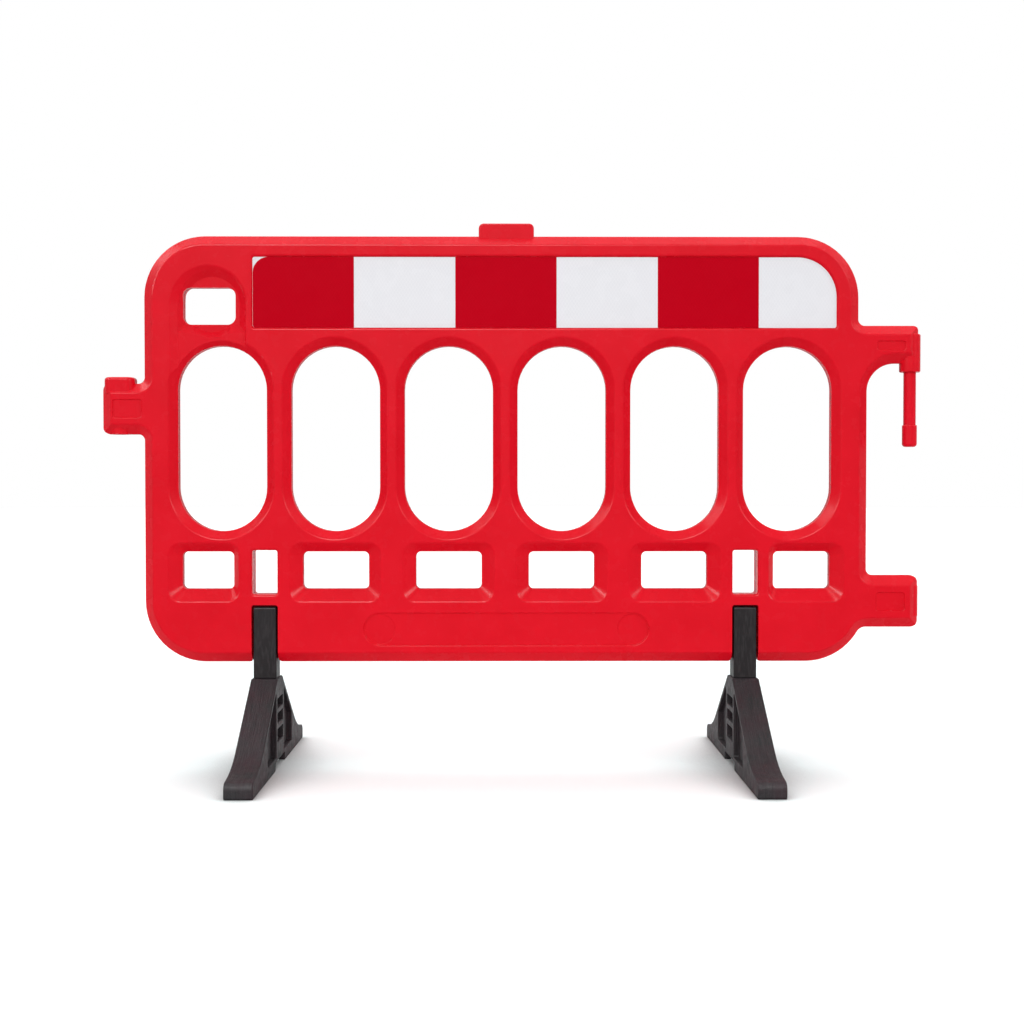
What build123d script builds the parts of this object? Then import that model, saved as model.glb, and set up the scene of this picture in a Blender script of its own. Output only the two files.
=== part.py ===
"""Plastic road barrier: a hollow red panel with link arms, reflective films and two swivelling feet."""

import os

from build123d import *

# Panel body
body_length = 1326.9
body_height = 780.5
ground_gap = 193.8
body_corner = 112.0
panel_thickness = 48.0
wall = 4.0
bevel_run = 18.0
bevel_depth = 17.0
moulded_round = 5.0
lip_round = 2.0
rim_round = 3.0
right_inset = 15.9
row_shift = -2.0

# Six tall ovals
oval_count = 6
oval_pitch = 207.4
oval_width = 162.4
oval_rise = 240.0
oval_drop = 200.8
oval_flare = 15.0
oval_flare_depth = 15.0

# Row of windows and slots under the ovals
window_rise = 134.1
window_height = 68.6
window_corner = 9.0
window_flare = 23.5
window_flare_top = 17.0
window_flare_depth = 16.0
window_face_corner = 22.0
inner_window_width = 120.8
left_window_width = 94.1
right_window_width = 103.6
outer_window_offset = 545.5
slot_side_flare = 12.0
slot_width = 45.8
slot_height = 80.6
slot_rise = 124.9
slot_corner = 4.0

# Hand-hold under the top left corner
hold_inset = 119.7
hold_width = 139.0
hold_arch_drop = 55.7
hold_depth = 6.0
hold_flare = 8.0
hold_shift = 5.0
hold_crescent_depth = 16.0
hold_crescent_run = 11.0
grip_width = 95.4
grip_height = 67.7
grip_drop = 94.2
grip_corner = 15.0
grip_sill = 16.0

# Reflective films and their recess
film_left_inset = 199.7
film_right_inset = 58.7
film_drop = 38.9
film_height = 130.3
film_corner = 5.0
film_big_corner = 73.0
film_recess_depth = 4.6
film_mouth_round = 4.0
film_margin = 0.8
base_film_thickness = 0.6
red_film_thickness = 0.2
red_film_count = 3
field_length = 184.9
red_film_corner = 29.0
red_film_inset = 0.4

# Long shallow recess on the bottom rail with a disc at each end, and small recesses on the arms
rail_recess_length = 521.9
rail_recess_height = 59.0
rail_recess_rise = 31.2
rail_disc_inset = 2.0
rail_disc_depth = 1.2
rail_disc_round = 0.9
shallow_depth = 2.4
recess_round = 1.8
arm_recess_length = 52.0
arm_recess_height = 33.0
arm_recess_corner = 5.0
socket_recess_offset = 28.2
right_recess_offset = 41.0
upper_recess_height = 16.6
upper_recess_drop = 3.4

# Top lug
lug_width = 101.0
lug_height = 23.3
lug_thickness = 24.0
lug_corner = 9.0
lug_round = 3.0

# Left arm with the link socket
socket_offset = 45.1
socket_bore = 28.4
socket_arm_end = 30.9
socket_arm_rise = 417.9
socket_arm_height = 92.8
collar_length = 55.7
collar_thickness = 42.0
collar_height = 11.7
collar_corner = 15.0
collar_round = 6.0
socket_wall = 4.0

# Upper right arm with the barrel that holds the link pin
pin_offset = 81.0
barrel_diameter = 38.2
barrel_rise = 532.7
barrel_height = 69.8
upper_arm_rise = 548.8
upper_arm_height = 69.0
upper_arm_setback = 5.5
barrel_round = 2.5

# Link pin
pin_shank_diameter = 18.0
pin_shank_length = 50.0
pin_shaft_diameter = 22.5
pin_length = 137.6
pin_tip_diameter = 26.8
pin_tip_length = 40.2
pin_tip_round = 6.0
pin_neck_round = 1.5

# Lower right arm, a spacer to the next barrier
lower_arm_rise = 63.2
lower_arm_height = 95.4
lower_arm_setback = 5.2
stop_diameter = 32.2
stop_height = 59.6
stop_round = 3.0

# Rounds on the arms and where they meet the body
arm_end_round = 14.5
upper_arm_end_round = 11.0
arm_root_round = 12.0
upper_arm_under_round = 52.0
lower_arm_under_round = 18.0

# Posts, their notches in the panel and the tongue that guides them
post_offset = 440.2
post_width = 42.0
post_depth = 44.5
post_edge_round = 3.0
post_top_round = 3.5
post_top_gap = 4.0
post_foot_chamfer = 1.5
notch_height = 105.2
notch_clearance = 3.2
notch_corner = 5.0
notch_mouth_round = 6.0
tongue_thickness = 8.0
tongue_reach = 6.0
tongue_clearance = 0.4

# Feet
foot_height = 164.0
foot_width = 49.0
foot_reach = 291.0
foot_shoulder = 27.7
foot_toe_length = 75.5
foot_slope_end_height = 37.8
foot_toe_height = 27.0
foot_shoulder_round = 7.0
foot_sweep_round = 200.0
foot_toe_round = 13.0
foot_sole_round = 4.0
foot_edge_round = 2.0
foot_mouth_round = 1.5
foot_rim = 10.0
foot_column = 44.0
foot_pocket_inset = 75.5
foot_pocket_depth = 10.0
foot_pocket_floor = 22.0
foot_pocket_round = 5.0
ladder_width = 64.0
ladder_round = 2.0
ladder_holes = ((110.0, 18.0), (82.0, 19.0), (48.0, 24.0))
foot_arch_reach = 54.0
foot_arch_height = 15.0

# Swivel between a post and its foot
spigot_diameter = 34.0
swivel_clearance = 0.05
end_play = 0.3
washer_diameter = 42.0
washer_thickness = 4.0
washer_clearance = 0.3
bolt_diameter = 10.0
bolt_length = 40.0
bolt_head_across = 16.0
bolt_head_height = 6.4

# Places worked out from the sizes above
half = panel_thickness / 2
left_reach = socket_offset + socket_arm_end
right_reach = pin_offset + barrel_diameter / 2
body_x = (left_reach - right_reach) / 2
left = body_x - body_length / 2
right = body_x + body_length / 2
bottom = ground_gap
top = bottom + body_height
row_x = body_x + row_shift
oval_height = body_height - oval_rise - oval_drop
oval_z = bottom + oval_rise + oval_height / 2
oval_top = oval_z + oval_height / 2
window_z = bottom + window_rise + window_height / 2
slot_z = bottom + slot_rise + slot_height / 2
hold_x = left + hold_inset
hold_spring_z = top - hold_arch_drop - hold_width / 2
grip_z = top - grip_drop - grip_height / 2
film_left = left + film_left_inset
film_right = right - film_right_inset
film_top = top - film_drop
film_bottom = film_top - film_height
rail_recess_z = bottom + rail_recess_rise + rail_recess_height / 2
rail_disc_radius = rail_recess_height / 2 - rail_disc_inset
socket_x = left - socket_offset
socket_arm_x = socket_x - socket_arm_end
socket_arm_bottom = bottom + socket_arm_rise
socket_arm_top = socket_arm_bottom + socket_arm_height
collar_top = socket_arm_top + collar_height
pin_x = right + pin_offset
lower_arm_x = right + right_reach - lower_arm_setback
upper_arm_x = right + right_reach - upper_arm_setback
barrel_bottom = bottom + barrel_rise
pin_bottom = barrel_bottom - pin_length
upper_arm_bottom = bottom + upper_arm_rise
upper_arm_top = upper_arm_bottom + upper_arm_height
lower_arm_bottom = bottom + lower_arm_rise
lower_arm_top = lower_arm_bottom + lower_arm_height
post_places = {"left": row_x - post_offset, "right": row_x + post_offset}
notch_top = bottom + notch_height
notch_width = post_width + 2 * notch_clearance
tongue_gap = notch_width - 2 * tongue_reach
tongue_tip = notch_top - tongue_reach
tongue_bottom = bottom + notch_mouth_round
post_top = notch_top - post_top_gap
groove_gap = tongue_gap - 2 * tongue_clearance
groove_width = tongue_thickness + 2 * tongue_clearance
foot_slope_reach = foot_reach - foot_toe_length
foot_pocket_reach = foot_slope_reach - foot_pocket_inset
spigot_end = foot_arch_height - end_play
washer_bottom = spigot_end - washer_thickness

# Corners of the arm ends: place, the way each one points, and its round
arm_corners = (
    (socket_arm_x, socket_arm_bottom, -1, -1, arm_end_round),
    (socket_arm_x, socket_arm_top, -1, 1, arm_end_round),
    (upper_arm_x, upper_arm_bottom, 1, -1, upper_arm_end_round),
    (upper_arm_x, upper_arm_top, 1, 1, upper_arm_end_round),
    (lower_arm_x, lower_arm_bottom, 1, -1, arm_end_round),
    (lower_arm_x, lower_arm_top, 1, 1, arm_end_round),
)

# Small recesses on the arms: the middle of each one, and its height
socket_arm_z = (socket_arm_bottom + socket_arm_top) / 2
upper_arm_z = (upper_arm_bottom + upper_arm_top) / 2
lower_arm_z = (lower_arm_bottom + lower_arm_top) / 2
arm_recesses = (
    (left - socket_recess_offset, socket_arm_z, arm_recess_height),
    (right + right_recess_offset, upper_arm_z - upper_recess_drop, upper_recess_height),
    (right + right_recess_offset, lower_arm_z, arm_recess_height),
)


def front_plane(depth):
    """Plane of the panel's front face, sunk by depth."""
    return Plane.XZ.offset(half - depth)


def span_rectangle(x_low, x_high, z_low, z_high, mode=Mode.ADD):
    """Rectangle between two corners, in the active sketch."""
    with Locations(((x_low + x_high) / 2, (z_low + z_high) / 2)):
        Rectangle(x_high - x_low, z_high - z_low, mode=mode)


def corner_near(sketch, x, z):
    """The sketch's vertex nearest to a point."""
    return sketch.vertices().sort_by_distance((x, z, 0))[0]


def body_face(inset):
    """The body without its arms, drawn in by inset on every side, in the active sketch."""
    upper_right = right - right_inset - inset
    corner = body_corner - inset
    with BuildLine() as edge:
        FilletPolyline(
            (left + inset, bottom + inset),
            (left + inset, top - inset),
            (upper_right, top - inset),
            (upper_right, upper_arm_z),
            (right - inset, upper_arm_z),
            (right - inset, bottom + inset),
            radius=[corner, corner, corner, 0, 0, corner],
            close=True,
        )
    make_face(edge.edges())


def film_face(grow):
    """Outline of the film recess, grown on every side, in the active sketch."""
    corner = film_corner + grow
    with BuildLine() as edge:
        FilletPolyline(
            (film_left - grow, film_bottom - grow),
            (film_left - grow, film_top + grow),
            (film_right + grow, film_top + grow),
            (film_right + grow, film_bottom - grow),
            radius=[corner, corner, film_big_corner + grow, corner],
            close=True,
        )
    make_face(edge.edges())


def bevel_rim(slab):
    """Bevel the rim of a slab on its front and back faces."""
    for end in (0, -1):
        face = slab.faces().sort_by(Axis.Y)[end]
        chamfer(face.edges(), bevel_run, bevel_depth, reference=face)


def round_rim(slab):
    """Round the edges between the bevels and the flat of the rim."""
    for level in (bevel_depth - half, half - bevel_depth):
        edges = slab.edges().filter_by_position(Axis.Y, level - 0.01, level + 0.01)
        fillet(edges, rim_round)


def funnel(mouth, throat, depth, grow):
    """Front half of an opening: a funnel from the face to its throat, then straight to the middle plane."""
    loft([mouth, throat])
    extrude(throat, amount=-(half - grow - depth))


def oval_cut(x, grow):
    """One tall oval with its funnel."""
    wide = oval_flare + grow
    with BuildSketch(front_plane(grow)) as mouth:
        with Locations((x, oval_z)):
            SlotOverall(oval_height + 2 * wide, oval_width + 2 * wide, rotation=90)
    with BuildSketch(front_plane(grow + oval_flare_depth)) as throat:
        with Locations((x, oval_z)):
            SlotOverall(oval_height + 2 * grow, oval_width + 2 * grow, rotation=90)
    funnel(mouth.sketch, throat.sketch, oval_flare_depth, grow)


def window_cut(x, width, flare_left, flare_right, grow):
    """One low window with its funnel, which is narrower beside a slot."""
    mouth_x = x + (flare_right - flare_left) / 2
    mouth_z = window_z + (window_flare_top - window_flare) / 2
    mouth_width = width + flare_left + flare_right + 2 * grow
    mouth_height = window_height + window_flare_top + window_flare + 2 * grow
    with BuildSketch(front_plane(grow)) as mouth:
        with Locations((mouth_x, mouth_z)):
            RectangleRounded(mouth_width, mouth_height, window_face_corner + grow)
    with BuildSketch(front_plane(grow + window_flare_depth)) as throat:
        with Locations((x, window_z)):
            RectangleRounded(width + 2 * grow, window_height + 2 * grow, window_corner + grow)
    funnel(mouth.sketch, throat.sketch, window_flare_depth, grow)


def straight_cut(x, z, width, height, corner, grow):
    """Front half of a straight hole with rounded corners."""
    with BuildSketch(front_plane(grow)) as hole:
        with Locations((x, z)):
            RectangleRounded(width + 2 * grow, height + 2 * grow, corner + grow)
    extrude(hole.sketch, amount=-(half - grow))


def arch_face(x, width, floor_z, grow):
    """Half circle on a rectangle, the shape of the hand-hold, in the active sketch."""
    reach = width / 2 + grow
    with Locations((x, hold_spring_z)):
        Circle(reach)
    span_rectangle(x - reach, x + reach, floor_z - grow, hold_spring_z)


def hold_cut(grow):
    """Hand-hold: a shallow arched recess that runs into the first oval, a deeper crescent, and the grip."""
    floor_x = hold_x + hold_shift
    floor_width = hold_width - 2 * hold_flare
    crescent_width = floor_width - 2 * hold_crescent_run
    grip_bottom = grip_z - grip_height / 2
    with BuildSketch(front_plane(grow)) as recess_mouth:
        arch_face(hold_x, hold_width, oval_z, grow)
    with BuildSketch(front_plane(grow + hold_depth)) as recess_floor:
        arch_face(floor_x, floor_width, oval_z, grow)
    loft([recess_mouth.sketch, recess_floor.sketch])
    with BuildSketch(front_plane(grow + hold_depth)) as crescent_mouth:
        arch_face(floor_x, floor_width, grip_bottom - grip_sill, grow)
    with BuildSketch(front_plane(grow + hold_crescent_depth)) as crescent_floor:
        arch_face(floor_x, crescent_width, grip_bottom, grow)
    loft([crescent_mouth.sketch, crescent_floor.sketch])
    straight_cut(hold_x, grip_z, grip_width, grip_height, grip_corner, grow)


def openings(grow):
    """All that is open through the panel, grown by the wall where the hollow keeps clear of it."""
    with BuildPart() as cutter:
        for spot in GridLocations(oval_pitch, 0, oval_count, 1):
            oval_cut(row_x + spot.position.X, grow)
        for spot in GridLocations(oval_pitch, 0, oval_count - 2, 1):
            window_cut(row_x + spot.position.X, inner_window_width, window_flare, window_flare, grow)
        window_cut(row_x - outer_window_offset, left_window_width, window_flare, slot_side_flare, grow)
        window_cut(row_x + outer_window_offset, right_window_width, slot_side_flare, window_flare, grow)
        for x in post_places.values():
            straight_cut(x, slot_z, slot_width, slot_height, slot_corner, grow)
        hold_cut(grow)
        mirror(about=Plane.XZ)
    return cutter.part


def film_recess(grow):
    """Recess for the films on both faces."""
    with BuildPart() as cutter:
        with BuildSketch(front_plane(grow)) as film:
            film_face(grow)
        extrude(film.sketch, amount=-film_recess_depth)
        mirror(about=Plane.XZ)
    return cutter.part


def shallow_recesses(grow):
    """Shallow recesses on the bottom rail and on the arms, on both faces."""
    with BuildPart() as cutter:
        with BuildSketch(front_plane(grow)) as rail:
            with Locations((body_x, rail_recess_z)):
                SlotOverall(rail_recess_length + 2 * grow, rail_recess_height + 2 * grow)
        extrude(rail.sketch, amount=-shallow_depth)
        with BuildSketch(front_plane(grow + shallow_depth)) as discs:
            for end in (-1, 1):
                with Locations((body_x + end * (rail_recess_length - rail_recess_height) / 2, rail_recess_z)):
                    Circle(rail_disc_radius + grow)
        extrude(discs.sketch, amount=-rail_disc_depth)
        with BuildSketch(front_plane(grow)) as dents:
            for x, z, height in arm_recesses:
                with Locations((x, z)):
                    RectangleRounded(arm_recess_length, height, arm_recess_corner)
        extrude(dents.sketch, amount=-shallow_depth)
        mirror(about=Plane.XZ)
    return cutter.part


def round_mouths(slab, radius):
    """Round the edges that the last cut left on the front and back faces of a slab."""
    mouths = slab.edges(Select.LAST).filter_by(lambda edge: abs(abs(edge.center().Y) - half) < 0.01)
    fillet(mouths, radius)


def notches(grow):
    """Both foot notches, open at the bottom, with rounded mouths and heads."""
    width = notch_width + 2 * grow
    head_z = notch_top + grow
    with BuildPart() as cutter:
        for x in post_places.values():
            with BuildSketch(Plane.XZ.offset(-half)) as notch:
                span_rectangle(x - width / 2, x + width / 2, bottom, head_z)
                span_rectangle(x - width, x + width, bottom - notch_mouth_round, bottom)
                for wall_x in (x - width / 2, x + width / 2):
                    fillet(corner_near(notch, wall_x, bottom), notch_mouth_round)
                    fillet(corner_near(notch, wall_x, head_z), notch_corner)
            extrude(notch.sketch, amount=panel_thickness)
    return cutter.part


def lug():
    """The lug on the top edge."""
    with BuildPart() as block:
        with BuildSketch(Plane.XZ.offset(-lug_thickness / 2)) as view:
            span_rectangle(body_x - lug_width / 2, body_x + lug_width / 2, top - bevel_run, top + lug_height)
            fillet(view.vertices().group_by(Axis.Y)[-1], lug_corner)
        extrude(amount=lug_thickness)
        for end in (0, -1):
            fillet(block.faces().sort_by(Axis.Y)[end].edges(), lug_round)
    return block.part


def socket():
    """The wall of the link socket through the left arm, with the collar at its top."""
    with BuildPart() as block:
        with BuildSketch(Plane.XY.offset(socket_arm_top - bevel_run)):
            with Locations((socket_x, 0)):
                RectangleRounded(collar_length, collar_thickness, collar_corner)
        extrude(amount=collar_height + bevel_run)
        fillet(block.faces().sort_by(Axis.Z)[-1].edges(), collar_round)
        with BuildSketch(Plane.XY.offset(socket_arm_bottom)):
            with Locations((socket_x, 0)):
                Circle(socket_bore / 2 + socket_wall)
        extrude(amount=socket_arm_height)
    return block.part


def upright_boss(base_z, diameter, height, rounding):
    """A round boss in line with the link pin, at the end of a right arm."""
    with BuildPart() as block:
        with BuildSketch(Plane.XY.offset(base_z)):
            with Locations((pin_x, 0)):
                Circle(diameter / 2)
        extrude(amount=height)
        fillet(block.edges().filter_by(GeomType.CIRCLE), rounding)
    return block.part


# The hollow inside the panel: the body drawn in by the wall, clear of every opening
with BuildPart() as hollow:
    with BuildSketch(Plane.XZ.offset(wall - half)):
        body_face(wall)
    extrude(amount=panel_thickness - 2 * wall)
    bevel_rim(hollow)
    add(openings(wall), mode=Mode.SUBTRACT)
    add(film_recess(wall), mode=Mode.SUBTRACT)
    add(shallow_recesses(wall), mode=Mode.SUBTRACT)
    add(notches(wall), mode=Mode.SUBTRACT)

# Panel
with BuildPart() as panel:
    with BuildSketch(Plane.XZ.offset(-half)) as outline:
        body_face(0)
        span_rectangle(socket_arm_x, left + body_corner, socket_arm_bottom, socket_arm_top)
        span_rectangle(right - body_corner, upper_arm_x, upper_arm_bottom, upper_arm_top)
        span_rectangle(right - body_corner, lower_arm_x, lower_arm_bottom, lower_arm_top)
        fillet(corner_near(outline, left, socket_arm_bottom), arm_root_round)
        fillet(corner_near(outline, left, socket_arm_top), arm_root_round)
        fillet(corner_near(outline, right - right_inset, upper_arm_top), arm_root_round)
        fillet(corner_near(outline, right, upper_arm_bottom), upper_arm_under_round)
        fillet(corner_near(outline, right, lower_arm_top), arm_root_round)
        fillet(corner_near(outline, right, lower_arm_bottom), lower_arm_under_round)
    extrude(amount=panel_thickness)
    bevel_rim(panel)
    round_rim(panel)

    # Rounded corners on the arm ends
    with BuildSketch(Plane.XZ.offset(-half)):
        for x, z, outward, upward, radius in arm_corners:
            with Locations((x - outward * radius / 2, z - upward * radius / 2)):
                Rectangle(radius, radius)
            with Locations((x - outward * radius, z - upward * radius)):
                Circle(radius, mode=Mode.SUBTRACT)
    extrude(amount=panel_thickness, mode=Mode.SUBTRACT)

    # Lug, socket, the barrel for the pin, and the stop at the end of the lower arm
    add(lug())
    add(socket())
    add(upright_boss(barrel_bottom, barrel_diameter, barrel_height, barrel_round))
    add(upright_boss(lower_arm_z - stop_height / 2, stop_diameter, stop_height, stop_round))

    # Openings, with every edge on the two faces rounded, and the lips where the funnels end
    add(openings(0), mode=Mode.SUBTRACT)
    for end in (0, -1):
        fillet(panel.faces().sort_by(Axis.Y)[end].edges(), moulded_round)
    for depth in {oval_flare_depth, window_flare_depth}:
        for level in (depth - half, half - depth):
            lips = panel.edges().filter_by_position(Axis.Y, level - 0.01, level + 0.01)
            fillet(lips.filter_by_position(Axis.Z, bottom, oval_top), lip_round)

    # Recesses with rounded mouths, and the rims of the discs in the rail's recess
    add(film_recess(0), mode=Mode.SUBTRACT)
    round_mouths(panel, film_mouth_round)
    add(shallow_recesses(0), mode=Mode.SUBTRACT)
    round_mouths(panel, recess_round)
    for level in (shallow_depth - half, half - shallow_depth):
        circles = panel.edges().filter_by(GeomType.CIRCLE).filter_by_position(Axis.Y, level - 0.01, level + 0.01)
        fillet(circles.filter_by(lambda edge: abs(edge.radius - rail_disc_radius) < 0.01), rail_disc_round)

    # Foot notches and their tongues
    add(notches(0), mode=Mode.SUBTRACT)
    with BuildSketch(Plane.XZ.offset(-tongue_thickness / 2)):
        for x in post_places.values():
            reach = (notch_width + wall) / 2
            span_rectangle(x - reach, x + reach, tongue_bottom, notch_top + wall / 2)
            span_rectangle(x - tongue_gap / 2, x + tongue_gap / 2, tongue_bottom, tongue_tip, Mode.SUBTRACT)
    extrude(amount=tongue_thickness)

    # Link socket, bore for the pin's shank, and the hollow
    with BuildSketch(Plane.XY.offset(socket_arm_bottom)):
        with Locations((socket_x, 0)):
            Circle(socket_bore / 2)
    extrude(amount=collar_top - socket_arm_bottom, mode=Mode.SUBTRACT)
    with BuildSketch(Plane.XY.offset(barrel_bottom)):
        with Locations((pin_x, 0)):
            Circle(pin_shank_diameter / 2)
    extrude(amount=pin_shank_length, mode=Mode.SUBTRACT)
    add(hollow.part, mode=Mode.SUBTRACT)

# Link pin
with BuildPart() as link_pin:
    with BuildSketch(Plane.XY.offset(pin_bottom)):
        with Locations((pin_x, 0)):
            Circle(pin_tip_diameter / 2)
    extrude(amount=pin_tip_length)
    fillet(link_pin.edges().sort_by(Axis.Z)[0], pin_tip_round)
    fillet(link_pin.edges().sort_by(Axis.Z)[-1], pin_neck_round)
    with BuildSketch(Plane.XY.offset(pin_bottom + pin_tip_length)):
        with Locations((pin_x, 0)):
            Circle(pin_shaft_diameter / 2)
    extrude(amount=pin_length - pin_tip_length)
    with BuildSketch(Plane.XY.offset(barrel_bottom)):
        with Locations((pin_x, 0)):
            Circle(pin_shank_diameter / 2)
    extrude(amount=pin_shank_length)

os.makedirs("parts", exist_ok=True)

panel.part.label = "panel"
export_step(panel.part, "parts/panel.step")
link_pin.part.label = "link_pin"
export_step(link_pin.part, "parts/link_pin.step")

# Reflective films: a white sheet on the floor of each recess, red fields over it
for name, side in (("front", 1), ("back", -1)):
    with BuildPart() as base_film:
        with BuildSketch(Plane.XZ.offset(side * (half - film_recess_depth))):
            film_face(-film_margin)
        extrude(amount=side * base_film_thickness)
    base_film.part.label = f"{name}_base_film"
    export_step(base_film.part, f"parts/{name}_base_film.step")
    for number in range(red_film_count):
        field_left = film_left + film_margin + 2 * number * field_length
        field_bottom = film_bottom + film_margin
        field_top = film_top - film_margin
        with BuildPart() as red_film:
            with BuildSketch(Plane.XZ.offset(side * (half - film_recess_depth + base_film_thickness))) as field:
                if number == 0:
                    span_rectangle(field_left + red_film_inset, field_left + field_length, field_bottom, field_top)
                    fillet(corner_near(field, field_left, field_top), red_film_corner)
                    fillet(corner_near(field, field_left, field_bottom), film_corner - film_margin)
                else:
                    span_rectangle(field_left, field_left + field_length, field_bottom, field_top)
            extrude(amount=side * red_film_thickness)
        red_film.part.label = f"{name}_red_film_{number + 1}"
        export_step(red_film.part, f"parts/{name}_red_film_{number + 1}.step")

# Posts, feet and the swivels between them
for name, x in post_places.items():
    with BuildPart() as post:
        with BuildSketch(Plane.XY.offset(foot_height)):
            with Locations((x, 0)):
                RectangleRounded(post_width, post_depth, post_edge_round)
        extrude(amount=post_top - foot_height)
        fillet(post.faces().sort_by(Axis.Z)[-1].edges(), post_top_round)
        chamfer(post.faces().sort_by(Axis.Z)[0].edges(), post_foot_chamfer)
        with BuildSketch(Plane.XZ.offset(-groove_width / 2)):
            span_rectangle(x - post_width, x + post_width, tongue_bottom - end_play, post_top)
            span_rectangle(x - groove_gap / 2, x + groove_gap / 2, tongue_bottom - end_play, tongue_tip, Mode.SUBTRACT)
        extrude(amount=groove_width, mode=Mode.SUBTRACT)
        with BuildSketch(Plane.XY.offset(spigot_end)):
            with Locations((x, 0)):
                Circle(spigot_diameter / 2)
        extrude(amount=foot_height - spigot_end)
        with BuildSketch(Plane.XY.offset(spigot_end)):
            with Locations((x, 0)):
                Circle(bolt_diameter / 2)
        extrude(amount=bolt_length - washer_thickness, mode=Mode.SUBTRACT)
    post.part.label = f"{name}_post"
    export_step(post.part, f"parts/{name}_post.step")

    with BuildPart() as foot:
        with BuildSketch(Plane.YZ.offset(x - foot_width / 2)):
            with BuildLine() as side_view:
                FilletPolyline(
                    (0, foot_height),
                    (foot_shoulder, foot_height),
                    (foot_slope_reach, foot_slope_end_height),
                    (foot_reach, foot_toe_height),
                    (foot_reach, 0),
                    (foot_arch_reach, 0),
                    (foot_arch_reach, foot_arch_height),
                    (0, foot_arch_height),
                    radius=[
                        0,
                        foot_shoulder_round,
                        foot_sweep_round,
                        foot_toe_round,
                        foot_sole_round,
                        foot_sole_round,
                        foot_sole_round,
                        0,
                    ],
                    close=True,
                )
            make_face(side_view.edges())
            mirror(about=Plane.YZ)
        extrude(amount=foot_width)
        for end in (0, -1):
            fillet(foot.faces().sort_by(Axis.X)[end].edges(), foot_edge_round)

        # Sunk pockets under the slopes, on both sides
        slope = (foot_height - foot_slope_end_height) / (foot_slope_reach - foot_shoulder)
        pocket_start_z = foot_height - foot_rim - slope * (foot_column - foot_shoulder)
        pocket_end_z = foot_height - foot_rim - slope * (foot_pocket_reach - foot_shoulder)
        for flank in (-1, 1):
            flank_x = x + flank * foot_width / 2
            with BuildSketch(Plane.YZ.offset(flank_x)):
                with BuildLine() as pocket:
                    FilletPolyline(
                        (foot_column, foot_pocket_floor),
                        (foot_column, pocket_start_z),
                        (foot_pocket_reach, pocket_end_z),
                        (foot_pocket_reach, foot_pocket_floor),
                        radius=foot_pocket_round,
                        close=True,
                    )
                make_face(pocket.edges())
                mirror(about=Plane.YZ)
            extrude(amount=-flank * foot_pocket_depth, mode=Mode.SUBTRACT)
            mouths = foot.edges(Select.LAST).filter_by_position(Axis.X, flank_x - 0.01, flank_x + 0.01)
            fillet(mouths, foot_mouth_round)

        # Ladder of holes through the column, and the swivel bore
        with BuildSketch(Plane.YZ.offset(x - foot_width / 2)):
            for hole_bottom, hole_height in ladder_holes:
                with Locations((0, hole_bottom + hole_height / 2)):
                    RectangleRounded(ladder_width, hole_height, ladder_round)
        extrude(amount=foot_width, mode=Mode.SUBTRACT)
        mouths = foot.edges(Select.LAST).filter_by(lambda edge: abs(abs(edge.center().X - x) - foot_width / 2) < 0.01)
        fillet(mouths, foot_mouth_round)
        with BuildSketch(Plane.XY.offset(foot_arch_height)):
            with Locations((x, 0)):
                Circle(spigot_diameter / 2 + swivel_clearance)
        extrude(amount=foot_height - foot_arch_height, mode=Mode.SUBTRACT)
    foot.part.label = f"{name}_foot"
    export_step(foot.part, f"parts/{name}_foot.step")

    with BuildPart() as swivel_washer:
        with BuildSketch(Plane.XY.offset(washer_bottom)):
            with Locations((x, 0)):
                Circle(washer_diameter / 2)
                Circle(bolt_diameter / 2 + washer_clearance, mode=Mode.SUBTRACT)
        extrude(amount=washer_thickness)
    swivel_washer.part.label = f"{name}_swivel_washer"
    export_step(swivel_washer.part, f"parts/{name}_swivel_washer.step")

    with BuildPart() as swivel_bolt:
        with BuildSketch(Plane.XY.offset(washer_bottom - bolt_head_height)):
            with Locations((x, 0)):
                RegularPolygon(bolt_head_across / 2, 6, major_radius=False)
        extrude(amount=bolt_head_height)
        with BuildSketch(Plane.XY.offset(washer_bottom)):
            with Locations((x, 0)):
                Circle(bolt_diameter / 2)
        extrude(amount=bolt_length)
    swivel_bolt.part.label = f"{name}_swivel_bolt"
    export_step(swivel_bolt.part, f"parts/{name}_swivel_bolt.step")
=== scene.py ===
# %% [markdown]
# # A red plastic road barrier
# The barrier is a blow-moulded panel with a band of reflective sheeting on each face, and it stands on two
# swivelling feet. Its solids come from a CAD model and are loaded here as they are. They could be modelled
# again in Blender, but then every size would have to be kept right twice. This lesson gives the solids their
# surfaces, adds the lines that the moulds leave behind, and sets the barrier up in a plain white studio.

# %% load the solids
import math
import bmesh
import bpy
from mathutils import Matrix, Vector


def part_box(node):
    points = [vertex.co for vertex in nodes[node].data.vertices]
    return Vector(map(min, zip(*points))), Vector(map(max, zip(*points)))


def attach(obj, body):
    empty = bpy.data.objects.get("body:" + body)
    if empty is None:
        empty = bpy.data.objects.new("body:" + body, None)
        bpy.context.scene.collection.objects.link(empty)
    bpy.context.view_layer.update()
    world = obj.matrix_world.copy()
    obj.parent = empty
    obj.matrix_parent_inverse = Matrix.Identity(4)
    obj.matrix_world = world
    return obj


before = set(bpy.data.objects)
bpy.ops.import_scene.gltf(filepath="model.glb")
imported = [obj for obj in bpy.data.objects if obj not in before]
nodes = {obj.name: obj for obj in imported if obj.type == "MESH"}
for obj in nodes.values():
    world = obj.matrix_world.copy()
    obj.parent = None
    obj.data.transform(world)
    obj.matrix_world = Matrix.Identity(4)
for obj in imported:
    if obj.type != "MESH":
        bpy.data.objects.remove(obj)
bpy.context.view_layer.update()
print(len(nodes), "solids:", ", ".join(sorted(nodes)))

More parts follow.
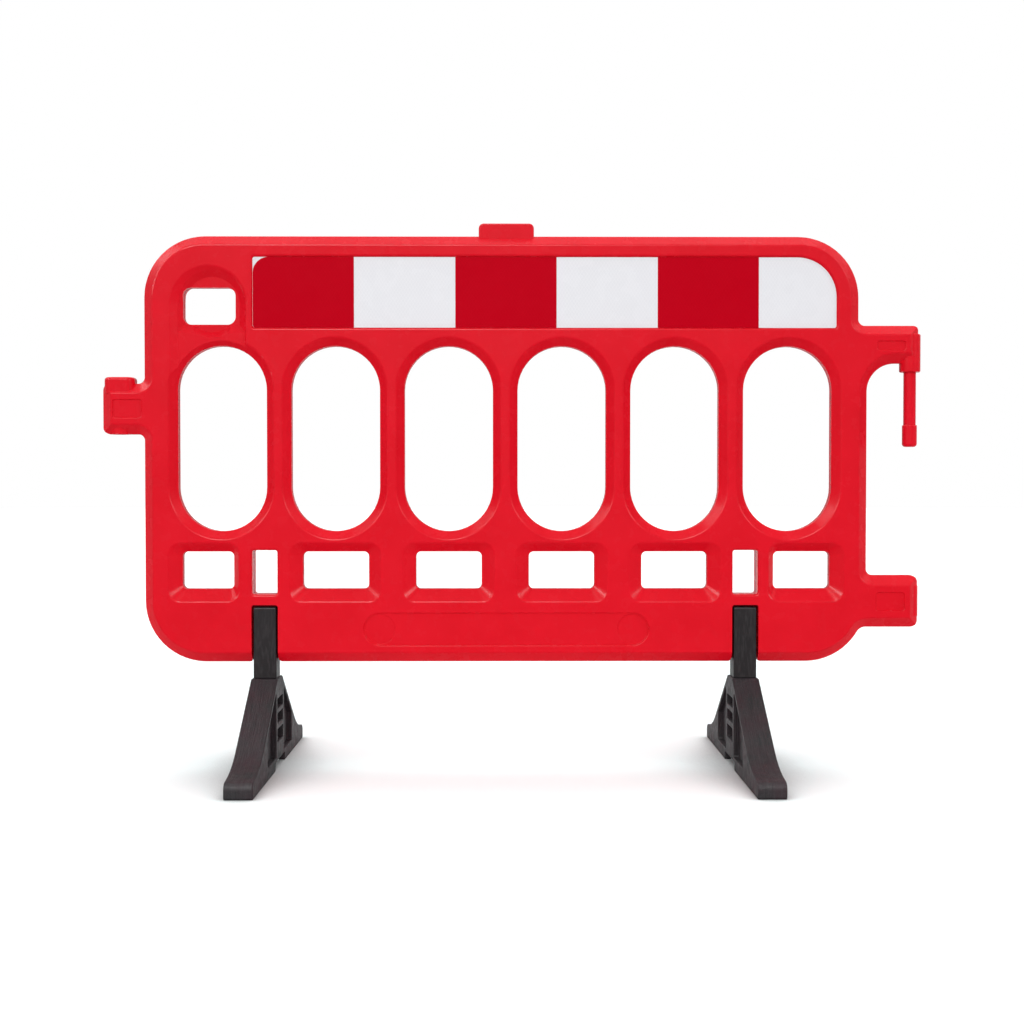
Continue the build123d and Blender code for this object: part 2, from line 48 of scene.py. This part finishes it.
# %% [markdown]
# ## Starting a material
# A finish could be painted on an image and wrapped round its piece. Noise in the material needs no image and
# no unwrapping, has no seams, and stays sharp from close by. So each finish here is a Principled shader
# whose colour, roughness and bump come from noise. The noise is read in Object coordinates, which stay fixed
# to a piece when it moves. They are in metres, so a noise scale of 100 gives spots about 10 mm across.


# %% start a material
def new_material(name, roughness, specular):
    """A Principled material; returns its node tree, its shader and its Object coordinates."""
    material = bpy.data.materials.new(name)
    material.use_nodes = True
    tree = material.node_tree
    tree.nodes.clear()
    output = tree.nodes.new("ShaderNodeOutputMaterial")
    shader = tree.nodes.new("ShaderNodeBsdfPrincipled")
    shader.inputs["Roughness"].default_value = roughness
    shader.inputs["Specular IOR Level"].default_value = specular
    tree.links.new(shader.outputs["BSDF"], output.inputs["Surface"])
    place = tree.nodes.new("ShaderNodeTexCoord").outputs["Object"]
    return tree, shader, place


def dress(material_name, names):
    """Put a material in the slots of the named solids."""
    for name in names:
        for slot in nodes[name].material_slots:
            slot.material = bpy.data.materials[material_name]
    print(material_name, "on", ", ".join(names))


# %% [markdown]
# ## Tools for patterns
# Noise mostly stays between 0.3 and 0.7, which alone would give weak patterns, so that span is spread out to
# the one that is wanted. Coordinates that are scaled more along one axis than along another draw the spots
# of noise out into streaks.


# %% patterns
def spread(tree, value, start, end, low, high):
    """A value between start and end, moved to between low and high."""
    change = tree.nodes.new("ShaderNodeMapRange")
    tree.links.new(value, change.inputs["Value"])
    for socket, number in (("From Min", start), ("From Max", end), ("To Min", low), ("To Max", high)):
        change.inputs[socket].default_value = number
    return change.outputs["Result"]


def noise(tree, place, scale, detail, low=0.0, high=1.0):
    """Noise whose usual span is spread out from low to high."""
    texture = tree.nodes.new("ShaderNodeTexNoise")
    texture.inputs["Scale"].default_value = scale
    texture.inputs["Detail"].default_value = detail
    tree.links.new(place, texture.inputs["Vector"])
    return spread(tree, texture.outputs["Fac"], start=0.3, end=0.7, low=low, high=high)


def stretch(tree, place, scale, turn=(0.0, 0.0, 0.0)):
    """Coordinates turned and scaled along each axis, to draw a texture out into streaks."""
    mapping = tree.nodes.new("ShaderNodeMapping")
    mapping.inputs["Rotation"].default_value = [math.radians(angle) for angle in turn]
    mapping.inputs["Scale"].default_value = scale
    tree.links.new(place, mapping.inputs["Vector"])
    return mapping.outputs["Vector"]


# %% [markdown]
# ## Tools for colour and relief
# A pattern mixes two colours, and mixes are stacked like coats. Relief could be real geometry, but a grain
# of a few hundredths of a millimetre only changes how light glances off. A Bump node does that without one
# new face. Bumps are stacked as well: each is laid over the one that is handed to it as under.


# %% colour and relief
def mix(tree, factor, first, second):
    """A colour between first and second; each is a colour or the output of another mix."""
    blend = tree.nodes.new("ShaderNodeMix")
    blend.data_type = "RGBA"
    tree.links.new(factor, blend.inputs["Factor"])
    # The node has sockets for every type of data. These are the ones for colour.
    colour_a, colour_b, colour_result = blend.inputs[6], blend.inputs[7], blend.outputs[2]
    for socket, colour in ((colour_a, first), (colour_b, second)):
        if isinstance(colour, tuple):
            socket.default_value = (*colour, 1.0)
        else:
            tree.links.new(colour, socket)
    return colour_result


def bump(tree, height, depth, under=None):
    """A normal that is pushed by a height of the given depth in metres, on top of another bump."""
    push = tree.nodes.new("ShaderNodeBump")
    push.inputs["Distance"].default_value = depth
    tree.links.new(height, push.inputs["Height"])
    if under is not None:
        tree.links.new(under, push.inputs["Normal"])
    return push.outputs["Normal"]


# %% [markdown]
# ## The red plastic
# The panel is blown from one tube of red polyethylene inside a two-part mould. The plastic is coloured
# through, satin, and never quite flat: the thin walls sink a little between the openings, and the blasted
# steel of the mould leaves a fine grain. One noise with much detail could carry all of this, but then every
# size would have the same strength. Three sizes of noise each get their own depth: slow waves about 150 mm
# long, soft ripples of 20 mm, and grain under 2 mm. The colour wanders by a few percent.
#
# The waste is trimmed off where the halves of the mould meet. The rim along that seam is darkened with
# painted shade, as the outline looks in shade. The mould parts in the middle plane of the panel, so the
# distance from that plane, along Y, tells where the painted shade lies. The link pin is of the same plastic,
# a little brighter.


# %% red plastic
def near_parting_plane(tree, place, full, gone):
    """1 up to one distance from the plane where the mould parts, and 0 beyond another."""
    across = tree.nodes.new("ShaderNodeSeparateXYZ")
    tree.links.new(place, across.inputs["Vector"])
    distance = tree.nodes.new("ShaderNodeMath")
    distance.operation = "ABSOLUTE"
    tree.links.new(across.outputs["Y"], distance.inputs[0])
    return spread(tree, distance.outputs["Value"], start=full, end=gone, low=1.0, high=0.0)


def red_plastic(name, light, deep, rim_shade):
    """Satin red polyethylene between two close shades, with painted shade on the rim where the mould parts.
    """
    tree, shader, place = new_material(name, roughness=0.26, specular=0.06)
    clouds = noise(tree, place, scale=14, detail=4)
    colour = mix(tree, clouds, light, deep)
    flecks = noise(tree, place, scale=260, detail=3, high=0.12)
    colour = mix(tree, flecks, colour, deep)
    # Painted shade: the rim along the parting plane is darkened to the last colour.
    rim_shade_mask = near_parting_plane(tree, place, full=0.0045, gone=0.0070)
    colour = mix(tree, rim_shade_mask, colour, rim_shade)
    tree.links.new(colour, shader.inputs["Base Color"])
    satin = noise(tree, place, scale=45, detail=5, low=0.24, high=0.29)
    tree.links.new(satin, shader.inputs["Roughness"])
    waves = bump(tree, noise(tree, place, scale=6.5, detail=1), depth=0.0016)
    ripples = bump(tree, noise(tree, place, scale=48, detail=2), depth=0.00005, under=waves)
    grain = bump(tree, noise(tree, place, scale=650, detail=2), depth=0.00003, under=ripples)
    tree.links.new(grain, shader.inputs["Normal"])


# The last colour of each is painted shade for the rim along the parting plane.
red_plastic(
    "moulded_red",
    light=(0.715, 0.0054, 0.0172),
    deep=(0.668, 0.0040, 0.0138),
    rim_shade=(0.43, 0.0016, 0.012),
)
red_plastic(
    "pin_red",
    light=(0.735, 0.0045, 0.0185),
    deep=(0.675, 0.0030, 0.0145),
    rim_shade=(0.56, 0.0025, 0.013),
)
dress("moulded_red", ["panel"])
dress("pin_red", ["link_pin"])

# %% [markdown]
# ## The reflective sheeting
# A white prismatic sheet lies in a shallow recess on each face, and red fields are laid over it. Under the
# clear top film the sheet is sealed in small diamond-shaped cells, which show as fine paler lines. The cells
# could be modelled, but there are thousands of them and they are flat. Two sets of bands from a Wave
# texture, leaning 32 degrees to either side, cross each other and draw them all. The red film is a deep
# clear red with almost no haze.


# %% reflective film
def highest(tree, values):
    """The largest of several values."""
    top = values[0]
    for value in values[1:]:
        larger = tree.nodes.new("ShaderNodeMath")
        larger.operation = "MAXIMUM"
        tree.links.new(top, larger.inputs[0])
        tree.links.new(value, larger.inputs[1])
        top = larger.outputs["Value"]
    return top


def seal_lines(tree, place, lean, scale):
    """1 on the crests of a set of leaning bands, which are the thin lines between the cells."""
    bands = tree.nodes.new("ShaderNodeTexWave")
    bands.inputs["Scale"].default_value = scale
    tree.links.new(stretch(tree, place, scale=(1, 1, 1), turn=(0, lean, 0)), bands.inputs["Vector"])
    return spread(tree, bands.outputs["Fac"], start=0.93, end=1.0, low=0.0, high=1.0)


def film(name, field, line, roughness, specular):
    """Sheeting with a diamond net of thin seal lines."""
    tree, shader, place = new_material(name, roughness, specular)
    net = highest(tree, [seal_lines(tree, place, lean, scale=60) for lean in (32, -32)])
    colour = mix(tree, net, field, line)
    haze = noise(tree, place, scale=9, detail=3, high=0.25)
    tree.links.new(mix(tree, haze, colour, line), shader.inputs["Base Color"])
    gloss = noise(tree, place, scale=30, detail=4, low=roughness - 0.03, high=roughness + 0.05)
    tree.links.new(gloss, shader.inputs["Roughness"])
    seal = bump(tree, net, depth=0.00004)
    waves = bump(tree, noise(tree, place, scale=16, detail=2), depth=0.0003, under=seal)
    tree.links.new(waves, shader.inputs["Normal"])


film(
    "white_sheeting",
    field=(0.755, 0.757, 0.788),
    line=(0.800, 0.802, 0.826),
    roughness=0.26,
    specular=0.14,
)
film(
    "red_sheeting",
    field=(0.485, 0.0003, 0.0085),
    line=(0.525, 0.0006, 0.0110),
    roughness=0.26,
    specular=0.01,
)
dress("white_sheeting", ["front_base_film", "back_base_film"])
dress("red_sheeting", [f"{side}_red_film_{number}" for side in ("front", "back") for number in (1, 2, 3)])

# %% [markdown]
# ## The posts
# The posts are black polypropylene with a fine spark-eroded grain. They slide in and out of the panel, so
# faint scuffs run along them, a little paler and rougher than the rest. The scuffs could be drawn one by
# one. Noise that is 3 mm across and drawn out to 17 mm along the post gives hundreds of them at once, and
# one pattern drives their colour, roughness and relief, so that these agree. Its low end is below 0, which
# leaves much of the post bare.

# %% post plastic
tree, shader, place = new_material("post_black", roughness=0.42, specular=0.12)
along_post = stretch(tree, place, scale=(330, 330, 60))
scuffs = noise(tree, along_post, scale=1.0, detail=4, low=-0.5, high=0.8)
warm_black = (0.0100, 0.0066, 0.0078)
deep_black = (0.0068, 0.0048, 0.0056)
scuff_grey = (0.0190, 0.0155, 0.0168)
colour = mix(tree, noise(tree, place, scale=24, detail=4), warm_black, deep_black)
tree.links.new(mix(tree, scuffs, colour, scuff_grey), shader.inputs["Base Color"])
rubbed = spread(tree, scuffs, start=0.0, end=1.0, low=0.42, high=0.58)
tree.links.new(rubbed, shader.inputs["Roughness"])
scratches = bump(tree, scuffs, depth=0.00003)
grain = bump(tree, noise(tree, place, scale=900, detail=2), depth=0.00005, under=scratches)
tree.links.new(grain, shader.inputs["Normal"])
dress("post_black", ["left_post", "right_post"])

# %% [markdown]
# ## The feet
# The feet are pressed from ground and melted plastic waste. The melt never mixes fully: brown and grey-green
# clouds run through it, flow lines follow the length of the foot, and pale crumbs show here and there. The
# skin is dull and slightly pitted. A single mottled noise could stand for the mixture. Laid over each other
# as layers, the largest first, the clouds, lines and crumbs can each be made weaker or stronger alone.

# %% foot plastic
tree, shader, place = new_material("recycled_grey", roughness=0.55, specular=0.13)
cloud_brown = (0.0240, 0.0096, 0.0142)
cloud_green = (0.0096, 0.0124, 0.0130)
flow_grey = (0.0315, 0.0262, 0.0288)
crumb_grey = (0.115, 0.108, 0.105)
clouds = noise(tree, place, scale=22, detail=4)
colour = mix(tree, clouds, cloud_brown, cloud_green)
flow = noise(tree, stretch(tree, place, scale=(430, 22, 30)), scale=1.0, detail=5)
flow_shows = spread(tree, flow, start=0.0, end=1.0, low=-0.15, high=0.65)
colour = mix(tree, flow_shows, colour, flow_grey)
crumbs = spread(tree, noise(tree, place, scale=330, detail=1), start=0.93, end=1.10, low=0.0, high=0.4)
tree.links.new(mix(tree, crumbs, colour, crumb_grey), shader.inputs["Base Color"])
dullness = noise(tree, place, scale=70, detail=5, low=0.46, high=0.66)
tree.links.new(dullness, shader.inputs["Roughness"])
streaks = bump(tree, flow, depth=0.0005)
pits = bump(tree, noise(tree, place, scale=420, detail=4), depth=0.00022, under=streaks)
tree.links.new(pits, shader.inputs["Normal"])
dress("recycled_grey", ["left_foot", "right_foot"])

# %% [markdown]
# ## Zinc-plated steel
# The swivel bolts and their washers are zinc-plated steel: a bluish grey metal with a slightly cloudy bright
# finish and a fine grain. A flat grey with the right gloss could do for such small pieces. But a metal shows
# mostly what it reflects, so it is the clouds in the roughness that make it look plated.

# %% zinc steel
tree, shader, place = new_material("zinc_plate", roughness=0.32, specular=0.5)
shader.inputs["Metallic"].default_value = 1.0
bright_zinc = (0.60, 0.61, 0.62)
dull_zinc = (0.48, 0.49, 0.50)
clouds = noise(tree, place, scale=120, detail=4)
tree.links.new(mix(tree, clouds, bright_zinc, dull_zinc), shader.inputs["Base Color"])
cloudy = noise(tree, place, scale=300, detail=3, low=0.24, high=0.42)
tree.links.new(cloudy, shader.inputs["Roughness"])
grain = bump(tree, noise(tree, place, scale=1500, detail=2), depth=0.00002)
tree.links.new(grain, shader.inputs["Normal"])
dress("zinc_plate", [f"{side}_swivel_{part}" for side in ("left", "right") for part in ("bolt", "washer")])

# %% [markdown]
# ## The lines that the moulds leave
# Where the two halves of a mould meet, a little plastic creeps into the joint and stays as a thin raised
# line. The panel's line runs round its rim and round the throat of every opening, and each foot has one down
# the middle of its slopes. Bump could draw it, but it has a real height that shows at the outline. Drawing
# its path by hand would take hundreds of points. Instead a copy of the solid is cut by the mould's plane,
# which gives the path whatever the shape, and a fine cord of plastic is laid along the cut.
#
# The copy comes first. A solid arrives as loose triangles, so its doubles are merged. The panel is hollow,
# and a line belongs on its outer skin alone: what is joined to the highest point stays, and the inner wall
# is deleted.

# %% outer skin
merge_distance = 0.00002


def outer_skin(node):
    """A merged copy of a solid's mesh, without the walls of its hollow."""
    work = bmesh.new()
    work.from_mesh(nodes[node].data)
    bmesh.ops.remove_doubles(work, verts=work.verts, dist=merge_distance)
    skin = {max(work.verts, key=lambda vert: vert.co.z)}
    front = list(skin)
    while front:
        for edge in front.pop().link_edges:
            for vert in edge.verts:
                if vert not in skin:
                    skin.add(vert)
                    front.append(vert)
    bmesh.ops.delete(work, geom=[vert for vert in work.verts if vert not in skin], context="VERTS")
    return work


# %% [markdown]
# ## Following a cut
# The cut comes back as a heap of short edges. Blender has an operator that turns edges into a curve, but it
# works on whatever is selected at the time. Walking from edge to edge takes a few lines and always gives the
# same paths: open ones are walked first, from their ends, and what is left are closed rounds.

# %% cut paths
cut_distance = 0.000005


def cut_edges(work, point, normal, above):
    """The edges at each vertex of the cut by a plane, where they lie above a given height."""
    everything = work.verts[:] + work.edges[:] + work.faces[:]
    cut = bmesh.ops.bisect_plane(work, geom=everything, dist=cut_distance, plane_co=point, plane_no=normal)
    edges_at = {}
    for edge in cut["geom_cut"]:
        if isinstance(edge, bmesh.types.BMEdge) and min(vert.co.z for vert in edge.verts) > above:
            for vert in edge.verts:
                edges_at.setdefault(vert, []).append(edge)
    return edges_at


def walk(edges_at):
    """The paths along a cut, each a list of vertices; a closed one ends where it starts."""
    paths = []
    used = set()
    for start in sorted(edges_at, key=lambda vert: len(edges_at[vert])):
        for edge in edges_at[start]:
            path = [start]
            while edge is not None and edge not in used:
                used.add(edge)
                path.append(edge.other_vert(path[-1]))
                edge = next((other for other in edges_at[path[-1]] if other not in used), None)
            if len(path) > 2:
                paths.append(path)
    return paths


# %% [markdown]
# ## Laying the cord
# A curve with a round bevel is a cord of any thickness along a path. It could stay a curve, but it is turned
# into a mesh, which stays just as it is shown here. Half of it sinks into the solid and the other half is the
# ridge.

# %% mould line tool
ridge_radius = 0.0003


def cord_mesh(name, paths, radius):
    """The mesh of a fine cord along every path."""
    curve = bpy.data.curves.new(name, "CURVE")
    curve.dimensions = "3D"
    curve.bevel_depth = radius
    curve.bevel_resolution = 1
    for path in paths:
        closed = path[0] is path[-1]
        points = path[:-1] if closed else path
        spline = curve.splines.new("POLY")
        spline.points.add(len(points) - 1)
        for knot, vert in zip(spline.points, points):
            knot.co = (*vert.co, 1.0)
        spline.use_cyclic_u = closed
    cord = bpy.data.objects.new(name, curve)
    mesh = bpy.data.meshes.new_from_object(cord)
    bpy.data.objects.remove(cord)
    return mesh


def add_object(name, data):
    """A new object in the scene, at the origin."""
    thing = bpy.data.objects.new(name, data)
    bpy.context.scene.collection.objects.link(thing)
    return thing


def mould_line(name, node, point, normal, above, body, finish):
    """Lay a thin ridge along the cut of a solid's outer skin by a plane, above a given height."""
    work = outer_skin(node)
    paths = walk(cut_edges(work, point, normal, above))
    mesh = cord_mesh(name, paths, ridge_radius)
    work.free()
    piece = add_object(name, mesh)
    mesh.materials.clear()
    mesh.materials.append(bpy.data.materials[finish])
    for face in mesh.polygons:
        face.use_smooth = True
    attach(piece, body)
    print(name, len(paths), "lines,", len(mesh.polygons), "faces")


# %% [markdown]
# ## The panel's line and the feet's lines
# The panel's mould parts in the plane Y = 0. The mould of a foot parts in the middle of its width, which is
# read from the box of the solid, so that the line stays in the middle if the foot is moved. The sole of a
# foot is left without a line: it stands on the ground.

# %% mould lines
mould_line(
    "panel_mould_line",
    "panel",
    point=(0, 0, 0),
    normal=(0, 1, 0),
    above=0.0,
    body="panel_body",
    finish="moulded_red",
)
for side in ("left", "right"):
    low_corner, high_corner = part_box(f"{side}_foot")
    mould_line(
        f"{side}_foot_mould_line",
        f"{side}_foot",
        point=((low_corner.x + high_corner.x) / 2, 0, 0),
        normal=(1, 0, 0),
        above=0.001,
        body=f"{side}_foot_body",
        finish="recycled_grey",
    )

# %% [markdown]
# ## The floor
# The barrier stands on a white sweep that runs on into a white background, with only a soft shadow round the
# feet. A floor lit until it is white would throw far too much light up at the barrier, so its material asks
# what kind of ray has met it. The camera and reflections see white, darkened by ambient occlusion close to
# the feet. That white has less red in it, because the panel throws red light on the floor. Light on its way
# to a matt surface meets a floor that is pale under the barrier and greyer further out, like a sheet of white
# paper that doesn't go on for ever.


# %% floor
def seen_directly(tree):
    """1 for the camera, reflections and light through glass; 0 for light on its way to a matt surface."""
    path = tree.nodes.new("ShaderNodeLightPath")
    kinds = ("Is Camera Ray", "Is Glossy Ray", "Is Transmission Ray")
    return highest(tree, [path.outputs[kind] for kind in kinds])


tree, shader, place = new_material("studio_floor", roughness=1.0, specular=0.0)
shaded_white = (0.462, 0.482, 0.482)
open_white = (1.01, 1.078, 1.078)
near_grey = (0.94, 0.94, 0.94)
far_grey = (0.52, 0.52, 0.52)
shade = tree.nodes.new("ShaderNodeAmbientOcclusion")
shade.inputs["Distance"].default_value = 0.16
shade.samples = 8
open_floor = spread(tree, shade.outputs["AO"], start=0.40, end=0.92, low=0.0, high=1.0)
seen = mix(tree, open_floor, shaded_white, open_white)
away = tree.nodes.new("ShaderNodeVectorMath")
away.operation = "LENGTH"
tree.links.new(place, away.inputs[0])
far = spread(tree, away.outputs["Value"], start=0.4, end=1.6, low=0.0, high=1.0)
bounce = mix(tree, far, near_grey, far_grey)
tree.links.new(mix(tree, seen_directly(tree), bounce, seen), shader.inputs["Base Color"])

# %% floor disc
floor_radius = 30
disc = bmesh.new()
bmesh.ops.create_circle(disc, cap_ends=True, segments=64, radius=floor_radius)
floor_mesh = bpy.data.meshes.new("floor")
disc.to_mesh(floor_mesh)
disc.free()
floor_mesh.materials.append(bpy.data.materials["studio_floor"])
floor = add_object("floor", floor_mesh)
print("floor of", floor_radius, "m radius")

# %% [markdown]
# ## The light from all round
# A white studio sends soft light back from every wall. An image of a room could stand for it, but a plain
# world has no edges that would show in the gloss. It asks for the kind of ray as the floor does: the barrier
# gets a soft light of about half strength, and the camera and reflections see plain white.


# %% world
def background(tree, colour, strength):
    """An even light from all round."""
    glow = tree.nodes.new("ShaderNodeBackground")
    glow.inputs["Color"].default_value = (*colour, 1.0)
    glow.inputs["Strength"].default_value = strength
    return glow.outputs["Background"]


world = bpy.data.worlds.new("studio")
world.use_nodes = True
bpy.context.scene.world = world
tree = world.node_tree
tree.nodes.clear()
soft = background(tree, colour=(0.98, 0.99, 1.0), strength=0.54)
white = background(tree, colour=(1.0, 1.0, 1.0), strength=1.0)
choice = tree.nodes.new("ShaderNodeMixShader")
output = tree.nodes.new("ShaderNodeOutputWorld")
tree.links.new(seen_directly(tree), choice.inputs["Fac"])
tree.links.new(soft, choice.inputs[1])
tree.links.new(white, choice.inputs[2])
tree.links.new(choice.outputs["Shader"], output.inputs["Surface"])
print("world:", world.name)

# %% [markdown]
# ## The lamps
# Large soft lights hang over the barrier and stand before it. Area lamps could be those, but their light
# falls off with distance. A Sun lamp with a wide angle is as soft, and even over the whole barrier.
#
# The overhead lamp makes the shadows. Three fills lift the shade from the front and from both sides, and
# reflections leave them out, so that they don't lie as a haze over the deep red. The other lamps are seen in
# reflections alone: two wide ones give the satin its sheen, and narrower ones draw fine bright lines along
# the rim and the edges of the openings and recesses.


# %% lamps
def soft_light(name, tilt, turn, width, strength):
    """A wide, even light; tilt 0 shines straight down and 90 level, turn is about the vertical."""
    lamp = bpy.data.lights.new(name, "SUN")
    lamp.angle = math.radians(width)
    lamp.energy = strength
    light = add_object(name, lamp)
    light.rotation_euler = (math.radians(tilt), 0.0, math.radians(turn))
    print(name, "of strength", strength)
    return light


soft_light("overhead", tilt=-14, turn=0, width=64, strength=1.40)
for name, turn, strength in (("left_fill", -62, 0.60), ("front_fill", 0, 0.80), ("right_fill", 62, 0.60)):
    soft_light(name, tilt=68, turn=turn, width=36, strength=strength).visible_glossy = False
for name, tilt, turn, width, strength in (
    ("front_sheen", 84, -18, 60, 0.9),
    ("top_sheen", -22, 0, 60, 1.1),
    ("top_edges", 52, -9, 18, 6.0),
    ("left_edges", 68, -48, 14, 3.0),
    ("right_edges", 68, 48, 14, 2.4),
    ("left_corner", 48, -84, 34, 3.4),
    ("right_corner", 48, 84, 34, 0.8),
):
    soft_light(name, tilt, turn, width, strength).visible_diffuse = False

# %% [markdown]
# ## The camera
# The picture is taken from 2.6 m, a little above the middle of the panel and nearly square on. The camera
# could be moved by eye until the picture fits, but a longer lens from further off shows the panel just as
# large. What tells them apart is depth: from nearby, the far end of a foot looks much smaller than its near
# end. So the distance is settled by the feet, and the lens then by the width of the panel.

# %% camera
camera_place = (-0.01967, -2.6, 0.51861)
camera_tilt = 88.905
camera_turn = -0.399
lens = bpy.data.cameras.new("camera")
lens.lens = 49.54
lens.sensor_width = 36.0
camera = add_object("camera", lens)
camera.location = camera_place
camera.rotation_euler = (math.radians(camera_tilt), 0.0, math.radians(camera_turn))
bpy.context.scene.camera = camera
bpy.context.scene.view_settings.view_transform = "Standard"
print("camera at", camera_place, "with a lens of", round(lens.lens, 2), "mm")
